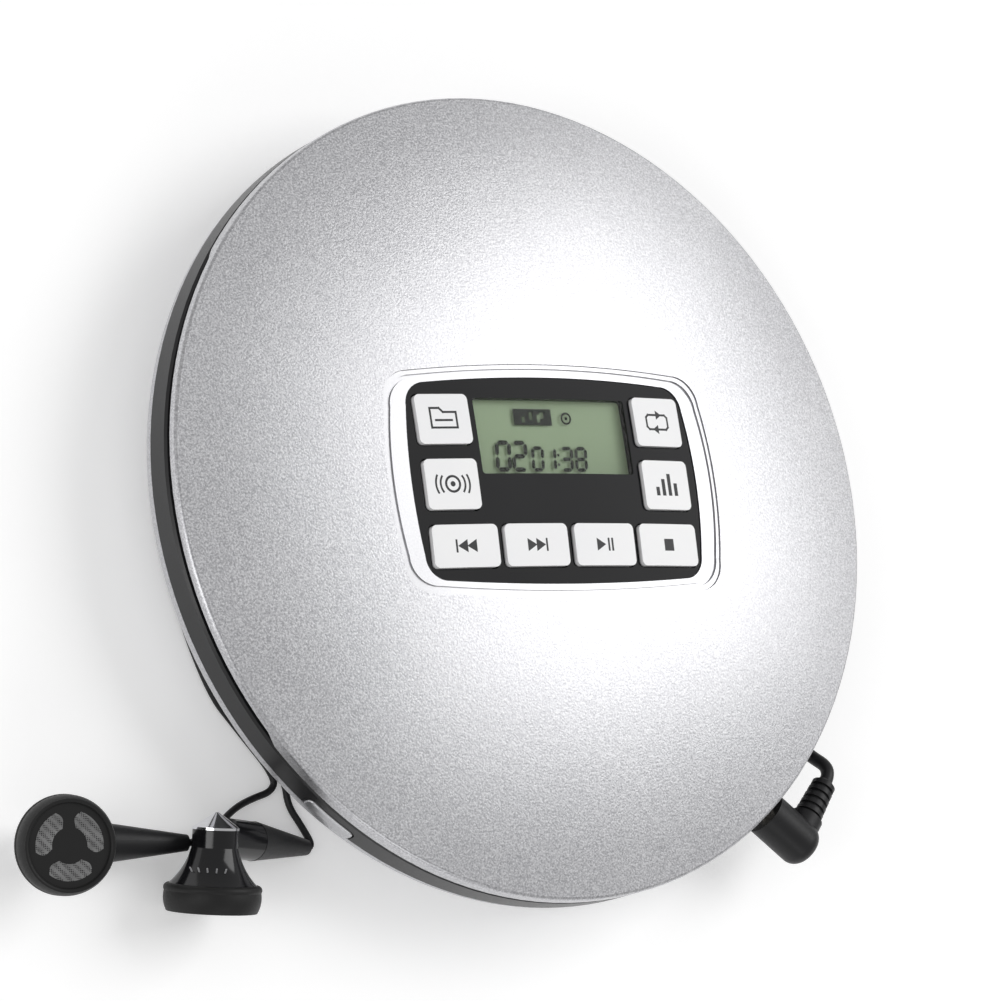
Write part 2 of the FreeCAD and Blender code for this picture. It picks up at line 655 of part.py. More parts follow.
def mainRoute():
    drop = [armEnd, armEnd + armRun * 3.0, plugPoint(3.6, 75.0, 10.2), plugPoint(6.4, 73.4, 6.4),
            plugPoint(11.4, 72.2, 3.0), plugPoint(18.0, 70.4, 1.5), plugPoint(27.0, 67.0, cordR),
            plugPoint(36.0, 60.0, cordR), plugPoint(43.6, 50.6, cordR)]
    away = [plugPoint(-23.0, 58.6, cordR), plugPoint(-11.0, 64.8, cordR), plugPoint(1.0, 71.8, cordR),
            plugPoint(12.0, 76.4, cordR), splitterAt - splitterRun * 15.0, splitterAt - splitterRun * 6.0]
    over = [polar(60.3, 338, 1.5), polar(63.6, 347, 3.2), polar(66.2, 353, 3.9), polar(69.6, 3, 3.9),
            polar(68.6, 15, 2.4), polar(65.0, 28, cordR)]
    return (drop + circlePoints(tuckR[0], 22, 322, 13, cordR) + over
            + circlePoints(tuckR[1], 42, 286, 11, cordR) + away)


splitterAt = plugPoint(37.2, 70.2, cordR)
splitterRun = polar(1, plugAngle + 90 + 24.0)


budA = {"face": Vector(-95.9, -56.7, 15.7), "look": Vector(-0.19, -0.19, 0.963).normalize(),
        "stem": Vector(0.99, -0.06, 0.09), "lean": 5.9}
budB = {"face": Vector(-67.3, -67.6, 7.9), "look": Vector(-0.056, -0.967, -0.237).normalize(),
        "stem": Vector(0.916, -0.08, -0.383), "lean": -5.0}
stemRoot = 12.2         # behind the earpiece's face
stemLength = 24.5
ferruleAt = 9.7         # seam between the earpiece's arm and its tapered sleeve


def budStem(bud):
    look = bud["look"]
    side = bud["stem"] - look * bud["stem"].dot(look)
    side.normalize()
    lean = math.radians(bud["lean"])
    run = side * math.cos(lean) - look * math.sin(lean)
    return bud["face"] - look * stemRoot, run


def budEnd(bud):
    root, run = budStem(bud)
    return root + run * stemLength


def behindRim(offset):
    """The two thin cords side by side on the surface, from the splitter to the tuck under the rim."""
    start = splitterAt + splitterRun * 6.0 + polar(offset, plugAngle + 24, thinR - splitterAt.z)
    return [start, start + splitterRun * 5.0] + [
        polar(r + offset, a, thinR) for r, a in ((80.2, 4), (79.8, 16), (78.0, 29), (74.8, 42), (69.6, 56))]


def branchRouteLeft():
    end = budEnd(budA)
    root, run = budStem(budA)
    return behindRim(0.75) + circlePoints(thinTuckR[0], 74, 206, 6, thinR) + [
        polar(65.0, 215, thinR), Vector(-47.6, -44.8, thinR), Vector(-48.6, -47.2, thinR),
        Vector(-52.8, -48.3, 0.8), Vector(-57.0, -49.9, 2.0), Vector(-61.0, -52.4, 3.8), end + run * 2.5, end]


def branchRouteRight():
    end = budEnd(budB)
    root, run = budStem(budB)
    return behindRim(-0.75) + circlePoints(thinTuckR[1], 74, 206, 6, thinR) + [
        polar(63.5, 216, thinR), Vector(-45.8, -45.2, thinR), Vector(-45.9, -49.6, thinR),
        Vector(-43.8, -53.4, 0.9), end + run * 2.4, end]


def tube(route, radius, name):
    """A round cord along straight runs joined by tangent arcs, each as large as its runs allow."""
    edges, at, radii = [], route[0], []
    for i in range(1, len(route) - 1):
        a, p, b = route[i - 1], route[i], route[i + 1]
        u, v = (a - p).normalize(), (b - p).normalize()
        half = (math.pi - u.getAngle(v)) / 2
        cut = 0.45 * min((a - p).Length, (b - p).Length)
        bend = cut / math.tan(half)
        radii.append(round(bend, 1))
        start, end = p + u * cut, p + v * cut
        toMid = (u + v).normalize() * (bend / math.cos(half) - bend)
        edges.append(Part.LineSegment(at, start).toShape())
        edges.append(Part.Arc(start, p + toMid, end).toShape())
        at = end
    edges.append(Part.LineSegment(at, route[-1]).toShape())
    path = Part.Wire(edges)
    ring = Part.Wire(Part.Circle(route[0], route[1] - route[0], radius).toShape())
    solid = path.makePipeShell([ring], True, False)
    ratio = solid.Volume / (math.pi * radius ** 2 * path.Length)
    print(name, "length", round(path.Length, 1), "volume ratio", round(ratio, 4), "radii", radii)
    return solid


def ySplitter():
    body = box(-6.0, 6.0, -2.3, 2.3, 0.05, 3.25)
    body = body.makeFillet(1.1, [e for e in body.Edges if abs(e.tangentAt(e.FirstParameter).x) > 0.9])
    body.rotate(Vector(0, 0, 0), Vector(0, 0, 1), plugAngle + 90 + 24.0)
    body.translate(Vector(splitterAt.x, splitterAt.y, 0))
    return body


def seated(solid, bud):
    out = solid.copy()
    out.Placement = FreeCAD.Placement(bud["face"], FreeCAD.Rotation(Vector(0, 0, 1), bud["look"]))
    return out


def budCap(bud):
    return seated(revolve(outline((0, -13.4), (3.9, -13.4), (3.9, -13.8), (0.3, -16.2), (0, -16.2), (0, -13.4))), bud)


def budHousing(bud):
    bell = seated(revolve(outline(
        (0, -1.2), (6.8, -1.2), (7.15, -4.6), ("arc", 5.1, -7.2), (3.8, -10.5), (3.8, -13.4), (0, -13.4),
        (0, -1.2))), bud)
    root, run = budStem(bud)
    arm = Part.makeCylinder(3.25, ferruleAt, root, run).cut(seated(cyl(3.7, -17, -9), bud))
    return join(bell, arm.cut(budCap(bud)))


def budSleeve(bud):
    root, run = budStem(bud)
    return Part.makeCone(3.3, 1.35, stemLength - ferruleAt, root + run * ferruleAt, run)


def budCushion(bud):
    return seated(revolve(outline(
        (6.8, -1.0), ("arc", 7.05, -0.1), (7.4, -0.1), ("arc", 7.95, -1.8), (7.9, -3.4), ("arc", 7.65, -4.5),
        (7.17, -4.6), (6.8, -1.2), (6.8, -1.0))), bud)


def budGrille(bud):
    return seated(cyl(6.75, -1.2, -0.6), bud)


nodes = {
    "bottom_shell": bottomShell, "side_ring": sideRing, "top_deck": topDeck, "rubber_feet": rubberFeet,
    "case_screws": caseScrews, "hinge_pins": hingePins, "battery_door": batteryDoor,
    "battery_cells": batteryCells, "battery_contacts": batteryContacts,
    "chassis_plate": chassisPlate, "chassis_dampers": chassisDampers, "guide_rods": guideRods,
    "spindle_motor": spindleMotor, "sled_motor": sledMotor, "turntable_hub": turntableHub,
    "hub_balls": hubBalls, "pickup_sled": pickupSled, "pickup_lens": pickupLens,
    "drive_gear": driveGear, "motor_pinion": motorPinion,
    "main_board": mainBoard, "headphone_socket": headphoneSocket, "line_out_socket": lineOutSocket,
    "charge_socket": chargeSocket, "hold_knob": holdKnob, "volume_wheel": volumeWheel,
    "volume_pot": volumePot, "open_button": openButton,
    "lid_shell": lidShell, "lid_liner": lidLiner, "lid_screws": lidScrews, "bezel_frame": bezelFrame,
    "control_panel": controlPanel, "lcd_window": lcdWindow, "lcd_module": lcdModule,
    "key_board": keyBoard, "key_pad": keyPad,
    "plug_body": plugBody, "plug_tip": plugTip, "strain_relief": strainRelief,
    "y_splitter": ySplitter,
}
for keyName, (keyX, keyY, keyHalf) in keyPlaces.items():
    nodes[keyName] = lambda x=keyX, y=keyY, half=keyHalf: keyCap(x, y, half)
for suffix, bud in (("left", budA), ("right", budB)):
    nodes["earbud_housing_" + suffix] = lambda b=bud: budHousing(b)
    nodes["earbud_sleeve_" + suffix] = lambda b=bud: budSleeve(b)
    nodes["earbud_cushion_" + suffix] = lambda b=bud: group([budCushion(b), budGrille(b)])
    nodes["earbud_cap_" + suffix] = lambda b=bud: budCap(b)
nodes["main_cord"] = lambda: tube(mainRoute(), cordR, "main_cord")
nodes["branch_cord_left"] = lambda: tube(branchRouteLeft(), thinR, "branch_cord_left")
nodes["branch_cord_right"] = lambda: tube(branchRouteRight(), thinR, "branch_cord_right")

os.makedirs("parts", exist_ok=True)
for name, make in nodes.items():
    shape = make()
    if not shape.isValid() or shape.Volume <= 0:
        print("CHECK", name, shape.isValid(), shape.Volume)
    shape.exportStep("parts/" + name + ".step")
print(len(nodes), "nodes written")
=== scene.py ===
import json
import math

import bmesh
import bpy
from mathutils import Matrix, Vector


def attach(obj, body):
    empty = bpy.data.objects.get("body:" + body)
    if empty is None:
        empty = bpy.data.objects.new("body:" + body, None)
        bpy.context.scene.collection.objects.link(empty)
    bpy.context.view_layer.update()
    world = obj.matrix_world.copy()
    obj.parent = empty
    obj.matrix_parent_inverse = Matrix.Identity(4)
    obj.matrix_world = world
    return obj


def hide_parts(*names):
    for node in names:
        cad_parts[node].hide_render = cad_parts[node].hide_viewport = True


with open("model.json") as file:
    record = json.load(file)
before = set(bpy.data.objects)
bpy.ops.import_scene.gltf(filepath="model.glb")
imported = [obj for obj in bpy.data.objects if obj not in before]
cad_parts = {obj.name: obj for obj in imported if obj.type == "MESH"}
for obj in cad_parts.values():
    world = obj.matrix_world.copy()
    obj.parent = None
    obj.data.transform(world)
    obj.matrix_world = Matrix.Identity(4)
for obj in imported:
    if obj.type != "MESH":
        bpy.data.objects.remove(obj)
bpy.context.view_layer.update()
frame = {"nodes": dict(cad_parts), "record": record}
cadNodes = frame["nodes"]
mm = 0.001


# a socket that takes plain arithmetic
class Wire:
    def __init__(self, recipe, socket):
        self.recipe, self.socket = recipe, socket

    def maths(self, operation, other):
        return self.recipe.node("Math", {"operation": operation}, [self, other])

    def __add__(self, other):
        return self.maths("ADD", other)

    def __mul__(self, other):
        return self.maths("MULTIPLY", other)

    def ramp(self, low, high, bottom=0.0, top=1.0):
        return self.recipe.node("MapRange", {"clamp": True}, [self, low, high, bottom, top])


class Recipe:
    def __init__(self, name):
        self.material = bpy.data.materials.new(name)
        self.material.use_nodes = True
        self.tree = self.material.node_tree
        self.shader = self.tree.nodes["Principled BSDF"]

    def node(self, kind, settings=None, inputs=(), output=0):
        made = self.tree.nodes.new("ShaderNode" + kind)
        for key, value in (settings or {}).items():
            setattr(made, key, value)
        pairs = inputs.items() if isinstance(inputs, dict) else enumerate(inputs)
        for key, value in pairs:
            self.feed(made.inputs[key], value)
        return Wire(self, made.outputs[output])

    def feed(self, socket, value):
        if isinstance(value, Wire):
            self.tree.links.new(value.socket, socket)
        else:
            socket.default_value = value

    def place(self):
        return self.node("TexCoord", output="Object")

    def noise(self, scale, detail=3.0, roughness=0.5, where=None):
        return self.node("TexNoise", {}, {"Vector": where or self.place(), "Scale": scale,
                                          "Detail": detail, "Roughness": roughness})

    def mix(self, share, low, high):
        # sockets 6, 7 and 2 are the node's colour inputs and output
        return self.node("Mix", {"data_type": "RGBA"},
                         {"Factor": share, 6: tint(low), 7: tint(high)}, output=2)

    def bump(self, height, strength, depth):
        return self.node("Bump", {}, {"Strength": strength, "Distance": depth, "Height": height})

    def finish(self, **values):
        for key, value in values.items():
            socket = self.shader.inputs[key.replace("_", " ")]
            self.feed(socket, tint(value) if "Color" in key else value)
        return self.material


def tint(value):
    return value if isinstance(value, Wire) or len(value) == 4 else (*value, 1.0)


# camera
view = {"place": (-0.40454, -0.13647, 0.57376), "right": (0.82086, -0.13184, 0.55570),
        "up": (-0.00256, 0.97213, 0.23441), "towards": (-0.57112, -0.19384, 0.79765),
        "lens": 146.28, "sensor": 36.0, "near": 0.01}
cameraData = bpy.data.cameras.new("camera")
camera = bpy.data.objects.new("camera", cameraData)
bpy.context.scene.collection.objects.link(camera)
turn = Matrix([view["right"], view["up"], view["towards"]]).transposed()
camera.matrix_world = Matrix.Translation(view["place"]) @ turn.to_4x4()
cameraData.lens, cameraData.sensor_width = view["lens"], view["sensor"]
cameraData.clip_start = view["near"]
bpy.context.scene.camera = camera

# cords, in mm; each lies on the table with its own radius under it
plug = {"angle": -41.0, "side": -14.0, "reliefStart": 5.1, "reliefLength": 8.2, "out": 78.6,
        "height": 13.75}
mainThick, branchThick = 2.4, 1.2
mainLow, branchLow = mainThick / 2, branchThick / 2
loopRadius = {"mainOuter": 61.25, "mainInner": 58.8, "left": 64.35, "right": 63.1}
plugOut = Vector((math.cos(math.radians(plug["angle"])), math.sin(math.radians(plug["angle"])), 0))
plugSide = Vector((-plugOut.y, plugOut.x, 0))


def polar(radius, angle, height=0.0):
    a = math.radians(angle)
    return Vector((radius * math.cos(a), radius * math.sin(a), height))


def plugPoint(lateral, out, height):
    return plugSide * lateral + plugOut * out + Vector((0, 0, height))


def circlePoints(radius, first, last, count, height):
    step = (last - first) / (count - 1)
    corner = radius / math.cos(math.radians(step / 2))
    return [polar(corner, first + i * step, height) for i in range(count)]


def makeCurve(name, points, diameter):
    # the thickness sits in each point's radius, so that the curve's box stays true
    data = bpy.data.curves.new(name, "CURVE")
    data.dimensions, data.bevel_depth, data.bevel_resolution = "3D", 1.0, 5
    data.resolution_u, data.use_fill_caps = 10, True
    spline = data.splines.new("NURBS")
    spline.points.add(len(points) - 1)
    for point, place in zip(spline.points, points):
        point.co, point.radius = (*(place * mm), 1.0), diameter / 2 * mm
    spline.order_u, spline.use_endpoint_u = 3, True
    made = bpy.data.objects.new(name, data)
    bpy.context.scene.collection.objects.link(made)
    return made


armEnd = (plugPoint(plug["side"] + plug["reliefStart"], plug["out"], plug["height"])
          + plugSide * plug["reliefLength"])
splitter = {"at": plugPoint(37.2, 70.2, mainLow), "run": polar(1, plug["angle"] + 114), "half": 6.0}
mainRoute = (
    [armEnd, armEnd + plugSide * 3.0, plugPoint(3.6, 75.0, 10.2), plugPoint(6.4, 73.4, 6.4),
     plugPoint(11.4, 72.2, 3.0), plugPoint(18.0, 70.4, 1.5), plugPoint(27.0, 67.0, mainLow),
     plugPoint(36.0, 60.0, mainLow), plugPoint(43.6, 50.6, mainLow)]
    + circlePoints(loopRadius["mainInner"], 22, 322, 13, mainLow)
    + [polar(60.3, 338, 1.5), polar(63.6, 347, 3.2), polar(66.2, 353, 3.9), polar(69.6, 3, 3.9),
       polar(68.6, 15, 2.4), polar(65.0, 28, mainLow)]
    + circlePoints(loopRadius["mainOuter"], 42, 286, 11, mainLow)
    + [plugPoint(-23.0, 58.6, mainLow), plugPoint(-11.0, 64.8, mainLow),
       plugPoint(1.0, 71.8, mainLow), plugPoint(12.0, 76.4, mainLow),
       splitter["at"] - splitter["run"] * 15.0, splitter["at"] - splitter["run"] * splitter["half"]])


def behindRim(offset):
    start = (splitter["at"] + splitter["run"] * splitter["half"]
             + polar(offset, plug["angle"] + 24, branchLow - splitter["at"].z))
    return [start, start + splitter["run"] * 5.0] + [
        polar(r + offset, a, branchLow)
        for r, a in ((80.2, 4), (79.8, 16), (78.0, 29), (74.8, 42), (69.6, 56))]


# each earpiece: its face's middle, the way it looks, and its stem
earStem = {"depth": 12.2, "length": 24.5}
buds = {
    "left": {"face": Vector((-95.9, -56.7, 15.7)),
             "look": Vector((-0.19, -0.19, 0.963)).normalized(),
             "stem": Vector((0.99, -0.06, 0.09)), "lean": 5.9},
    "right": {"face": Vector((-67.3, -67.6, 7.9)),
              "look": Vector((-0.056, -0.967, -0.237)).normalized(),
              "stem": Vector((0.916, -0.08, -0.383)), "lean": -5.0}}


def budStem(bud):
    look = bud["look"]
    side = (bud["stem"] - look * bud["stem"].dot(look)).normalized()
    lean = math.radians(bud["lean"])
    return bud["face"] - look * earStem["depth"], side * math.cos(lean) - look * math.sin(lean)


def budEnd(bud):
    root, run = budStem(bud)
    return root + run * earStem["length"], run


endLeft, runLeft = budEnd(buds["left"])
endRight, runRight = budEnd(buds["right"])
leftRoute = behindRim(0.75) + circlePoints(loopRadius["left"], 74, 206, 6, branchLow) + [
    polar(65.0, 215, branchLow), Vector((-47.6, -44.8, branchLow)), Vector((-48.6, -47.2, branchLow)),
    Vector((-52.8, -48.3, 0.8)), Vector((-57.0, -49.9, 2.0)), Vector((-61.0, -52.4, 3.8)),
    endLeft + runLeft * 2.5, endLeft]
rightRoute = behindRim(-0.75) + circlePoints(loopRadius["right"], 74, 206, 6, branchLow) + [
    polar(63.5, 216, branchLow), Vector((-45.8, -45.2, branchLow)), Vector((-45.9, -49.6, branchLow)),
    Vector((-43.8, -53.4, 0.9)), endRight + runRight * 2.4, endRight]
mainCord = makeCurve("mainCord", mainRoute, mainThick)
leftCord = makeCurve("leftCord", leftRoute, branchThick)
rightCord = makeCurve("rightCord", rightRoute, branchThick)
for piece, node in ((mainCord, "main_cord"), (leftCord, "branch_cord_left"),
                    (rightCord, "branch_cord_right")):
    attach(piece, "base")
    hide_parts(node)


armEnd * mm
leftRoute[0] * mm
rightRoute[0] * mm
print("cords made")


# materials
def lidPaint(name, look):
    r = Recipe(name)
    grain = r.noise(look["grain"], 2.0, 0.6)
    cloud = r.noise(26.0, 2.0)
    shade = grain.ramp(0.35, 0.68) * 0.85 + cloud.ramp(0.3, 0.7) * 0.15
    return r.finish(
        Base_Color=r.mix(shade, look["dark"], look["light"]), Metallic=look["metal"],
        Roughness=grain.ramp(0.3, 0.7, look["rough"] - 0.05, look["rough"] + 0.06),
        Coat_Weight=look["coat"], Coat_Roughness=0.3, Normal=r.bump(grain, look["bump"], 0.00006))


def plastic(name, look):
    r = Recipe(name)
    grain = r.noise(look["grain"], 4.0, 0.6)
    smear = r.noise(38.0, 3.0)
    rough = (grain.ramp(0.3, 0.7, look["rough"] * 0.9, look["rough"] * 1.12)
             + smear.ramp(0.45, 0.75, 0.0, look["smear"]))
    return r.finish(
        Base_Color=r.mix(smear.ramp(0.35, 0.65), look["dark"], look["light"]), Roughness=rough,
        Coat_Weight=look.get("coat", 0.0), Coat_Roughness=0.06,
        Specular_IOR_Level=look.get("shine", 0.35), Normal=r.bump(grain, look["bump"], 0.00004))


def brushed(name, look):
    r = Recipe(name)
    stretch = r.node("Mapping", {}, {"Vector": r.place(), "Scale": look["stretch"]})
    lines = r.noise(look["grain"], 5.0, 0.7, stretch)
    return r.finish(
        Base_Color=r.mix(lines.ramp(0.3, 0.7), look["dark"], look["light"]), Metallic=1.0,
        Roughness=lines.ramp(0.3, 0.7, look["rough"] * 0.8, look["rough"] * 1.25),
        Normal=r.bump(lines, look["bump"], 0.00002))


def rubber(name, look):
    r = Recipe(name)
    grain = r.noise(look["grain"], 5.0, 0.65)
    dust = r.noise(60.0, 4.0)
    return r.finish(
        Base_Color=r.mix(dust.ramp(0.45, 0.8), look["dark"], look["light"]),
        Roughness=grain.ramp(0.3, 0.7, look["rough"] - 0.08, look["rough"] + 0.08),
        Specular_IOR_Level=look["shine"], Normal=r.bump(grain, look["bump"], 0.00005))


def board(name, look):
    r = Recipe(name)
    cells = r.node("TexVoronoi", {"distance": "MANHATTAN"},
                   {"Vector": r.place(), "Scale": look["scale"]})
    tracks = cells.ramp(0.42, 0.46)
    return r.finish(Base_Color=r.mix(tracks, look["dark"], look["light"]), Roughness=0.35,
                    Normal=r.bump(tracks, 0.3, 0.00003))


def clearPane(name, look):
    r = Recipe(name)
    r.finish(Base_Color=look["colour"], Roughness=look["rough"], Coat_Weight=0.5)
    through = r.node("BsdfTransparent", {}, {"Color": tint(look["through"])})
    edge = r.node("LayerWeight", {}, {"Blend": 0.25}, 1)
    share = edge.ramp(0.0, 1.0, look["veil"], 0.55)
    mixed = r.node("MixShader", {}, [share, through])
    r.tree.links.new(r.shader.outputs[0], mixed.socket.node.inputs[2])
    r.tree.links.new(mixed.socket, r.tree.nodes["Material Output"].inputs["Surface"])
    return r.material


# display cell: its colour runs lighter towards +y; its emission is painted light, a glow that brightens
# the cell under the clear pane and is also lighter towards +y
def display(name, look):
    r = Recipe(name)
    place = r.node("SeparateXYZ", {}, [r.place()], 1)
    fall = place.ramp(0.001, 0.0145)
    speck = r.noise(5200.0, 2.0)
    return r.finish(Base_Color=r.mix(fall * 0.8 + speck * 0.2, look["low"], look["high"]),
                    Roughness=0.32, Emission_Color=r.mix(fall, look["low"], look["high"]),
                    Emission_Strength=look["paintedGlow"])


def meshCloth(name, look):
    r = Recipe(name)
    holes = r.node("TexVoronoi", {"feature": "F1"},
                   {"Vector": r.place(), "Scale": look["scale"], "Randomness": 0.1})
    wire = holes.ramp(0.28, 0.42)
    shade = r.noise(420.0, 3.0)
    weave = wire * shade.ramp(0.2, 0.7, 0.5, 1.0)
    return r.finish(Base_Color=r.mix(weave, look["dark"], look["light"]), Metallic=0.4,
                    Roughness=0.42, Normal=r.bump(wire, 0.7, 0.0001))


paints = {
    "silver_lid": lidPaint("lidPaint", {
        "dark": (0.40, 0.40, 0.42), "light": (0.72, 0.72, 0.735), "metal": 0.9, "rough": 0.35,
        "grain": 2900.0, "bump": 0.5, "coat": 0.0}),
    "silver_shell": lidPaint("shellPaint", {
        "dark": (0.44, 0.44, 0.46), "light": (0.70, 0.70, 0.72), "metal": 0.8, "rough": 0.36,
        "grain": 2900.0, "bump": 0.35, "coat": 0.1}),
    "silver_trim": lidPaint("trimPlate", {
        "dark": (0.50, 0.50, 0.515), "light": (0.60, 0.60, 0.615), "metal": 0.9, "rough": 0.34,
        "grain": 2900.0, "bump": 0.1, "coat": 0.0}),
    "black_ring": plastic("ringBlack", {
        "dark": (0.010, 0.010, 0.011), "light": (0.018, 0.018, 0.019), "rough": 0.32, "smear": 0.06,
        "grain": 2600.0, "bump": 0.12, "shine": 0.45}),
    "black_gloss": plastic("glossBlack", {
        "dark": (0.004, 0.004, 0.005), "light": (0.007, 0.007, 0.008), "rough": 0.08, "smear": 0.03,
        "grain": 300.0, "bump": 0.0, "shine": 0.1}),
    "deck_grey": plastic("deckGrey", {
        "dark": (0.05, 0.05, 0.053), "light": (0.065, 0.065, 0.068), "rough": 0.5, "smear": 0.08,
        "grain": 3000.0, "bump": 0.35}),
    "key_white": plastic("keyWhite", {
        "dark": (0.86, 0.86, 0.87), "light": (0.90, 0.90, 0.90), "rough": 0.22, "smear": 0.05,
        "grain": 900.0, "bump": 0.02, "coat": 0.35}),
    "lcd_clear": clearPane("clearWindow", {
        "colour": (0.02, 0.02, 0.02), "through": (0.95, 0.98, 0.94), "rough": 0.05, "veil": 0.06}),
    # the cell's emission is painted light that brightens it under the window
    "lcd_cell": display("displayCell", {
        "low": (0.30, 0.37, 0.24), "high": (0.38, 0.46, 0.31), "paintedGlow": 0.14}),
    "circuit_board": board("boardGreen", {
        "dark": (0.01, 0.07, 0.03), "light": (0.03, 0.14, 0.06), "scale": 420.0}),
    "rubber_black": rubber("softRubber", {
        "dark": (0.012, 0.012, 0.012), "light": (0.022, 0.022, 0.022), "rough": 0.5, "shine": 0.25,
        "grain": 2400.0, "bump": 0.3}),
    "steel": brushed("machinedSteel", {
        "dark": (0.42, 0.42, 0.43), "light": (0.66, 0.66, 0.67), "rough": 0.3, "grain": 700.0,
        "stretch": (1, 14, 1), "bump": 0.15}),
    "motor_can": brushed("motorCan", {
        "dark": (0.5, 0.5, 0.51), "light": (0.7, 0.7, 0.71), "rough": 0.24, "grain": 500.0,
        "stretch": (1, 1, 12), "bump": 0.1}),
    "gear_white": plastic("gearWhite", {
        "dark": (0.78, 0.77, 0.72), "light": (0.84, 0.83, 0.79), "rough": 0.4, "smear": 0.1,
        "grain": 900.0, "bump": 0.06}),
    "lens": clearPane("pickupLens", {
        "colour": (0.1, 0.15, 0.5), "through": (0.45, 0.55, 0.85), "rough": 0.03, "veil": 0.3}),
    "spring_brass": brushed("springMetal", {
        "dark": (0.5, 0.42, 0.2), "light": (0.72, 0.62, 0.34), "rough": 0.28, "grain": 900.0,
        "stretch": (1, 1, 1), "bump": 0.1}),
    "cell_wrap": plastic("cellWrap", {
        "dark": (0.02, 0.05, 0.09), "light": (0.03, 0.07, 0.12), "rough": 0.25, "smear": 0.1,
        "grain": 700.0, "bump": 0.04, "coat": 0.3}),
    "chrome_cap": brushed("chromeCap", {
        "dark": (0.72, 0.72, 0.74), "light": (0.82, 0.82, 0.84), "rough": 0.08, "grain": 900.0,
        "stretch": (1, 1, 1), "bump": 0.02}),
    "plug_metal": brushed("plugMetal", {
        "dark": (0.66, 0.63, 0.55), "light": (0.8, 0.77, 0.7), "rough": 0.12, "grain": 900.0,
        "stretch": (1, 1, 1), "bump": 0.03}),
    "cord_black": rubber("cordSheath", {
        "dark": (0.012, 0.012, 0.013), "light": (0.02, 0.02, 0.021), "rough": 0.42, "shine": 0.3,
        "grain": 1500.0, "bump": 0.12}),
    "bud_black": plastic("budGloss", {
        "dark": (0.005, 0.005, 0.006), "light": (0.009, 0.009, 0.010), "rough": 0.14, "smear": 0.05,
        "grain": 1500.0, "bump": 0.02, "shine": 0.45}),
    "plug_black": plastic("plugSatin", {
        "dark": (0.010, 0.010, 0.011), "light": (0.02, 0.02, 0.021), "rough": 0.42, "smear": 0.05,
        "grain": 2200.0, "bump": 0.2, "shine": 0.25}),
}
meshGrey = meshCloth("earMesh", {
    "dark": (0.012, 0.012, 0.012), "light": (0.24, 0.24, 0.24), "scale": 3400.0})
inkDark = plastic("inkDark", {
    "dark": (0.012, 0.012, 0.014), "light": (0.02, 0.02, 0.022), "rough": 0.4, "smear": 0.02,
    "grain": 2000.0, "bump": 0.05})
segmentInk = plastic("segmentInk", {
    "dark": (0.006, 0.008, 0.007), "light": (0.01, 0.012, 0.01), "rough": 0.5, "smear": 0.0,
    "grain": 1500.0, "bump": 0.0, "shine": 0.1})
ventGrey = plastic("ventGrey", {
    "dark": (0.30, 0.30, 0.31), "light": (0.42, 0.42, 0.43), "rough": 0.3, "smear": 0.02,
    "grain": 900.0, "bump": 0.0})
for entry in frame["record"]["subparts"]:
    node = cadNodes[entry["node"]]
    node.data.materials.clear()
    node.data.materials.append(paints[entry["material_slot"]])
for curve in (mainCord, leftCord, rightCord):
    curve.data.materials.append(paints["cord_black"])
print("materials made")


# mesh helpers
def makeObject(name, mesh, material, body):
    made = bpy.data.objects.new(name, mesh)
    bpy.context.scene.collection.objects.link(made)
    mesh.materials.append(material)
    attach(made, body)
    return made


def platesMesh(name, shapes, under, thickness):
    # flat shapes, in mm, laid on the surface that under(x, y) gives
    build = bmesh.new()
    for shape in shapes:
        low = [build.verts.new((x * mm, y * mm, under(x, y) * mm)) for x, y in shape]
        high = [build.verts.new((x * mm, y * mm, (under(x, y) + thickness) * mm)) for x, y in shape]
        build.faces.new(high)
        build.faces.new(low[::-1])
        for i in range(len(shape)):
            j = (i + 1) % len(shape)
            build.faces.new((low[i], low[j], high[j], high[i]))
    bmesh.ops.recalc_face_normals(build, faces=build.faces)
    bmesh.ops.triangulate(build, faces=build.faces)
    mesh = bpy.data.meshes.new(name)
    build.to_mesh(mesh)
    build.free()
    return mesh


def bar(x0, y0, x1, y1):
    return [(x0, y0), (x1, y0), (x1, y1), (x0, y1)]


def stroke(points, width):
    # one plate along each run of a line
    plates = []
    for (x0, y0), (x1, y1) in zip(points, points[1:]):
        length = math.hypot(x1 - x0, y1 - y0)
        nx, ny = -(y1 - y0) / length * width / 2, (x1 - x0) / length * width / 2
        ex, ey = (x1 - x0) / length * width / 2, (y1 - y0) / length * width / 2
        plates.append([(x0 - ex + nx, y0 - ey + ny), (x0 - ex - nx, y0 - ey - ny),
                       (x1 + ex - nx, y1 + ey - ny), (x1 + ex + nx, y1 + ey + ny)])
    return plates


def band(cx, cy, inner, outer, start, end, steps=20):
    shapes = []
    for i in range(steps):
        a, b = (math.radians(start + (end - start) * k / steps) for k in (i, i + 1))
        shapes.append([(cx + r * math.cos(t), cy + r * math.sin(t)) for r, t in
                       ((inner, a), (outer, a), (outer, b), (inner, b))])
    return shapes


def moved(shapes, dx, dy):
    return [[(x + dx, y + dy) for x, y in shape] for shape in shapes]


# panel, in mm; it follows the lid's dome, which sags by this much at the rim
dome = {"rim": 71.0, "ease": 0.4, "sag": 8.6}
panel = {
    "crown": 27.8, "keyRise": 0.25, "ink": 0.012, "displayTop": 25.4, "displayInk": 0.02,
    "iconLine": 0.32, "iconScale": 1.18,
    "domeRadius": ((dome["rim"] - dome["ease"]) ** 2 + dome["sag"] ** 2) / (2 * dome["sag"])}


def domeHeight(x, y, lift):
    return panel["crown"] - panel["domeRadius"] + math.sqrt(
        (panel["domeRadius"] + lift) ** 2 - x * x - y * y)


def onKey(x, y):
    return domeHeight(x, y, panel["keyRise"])


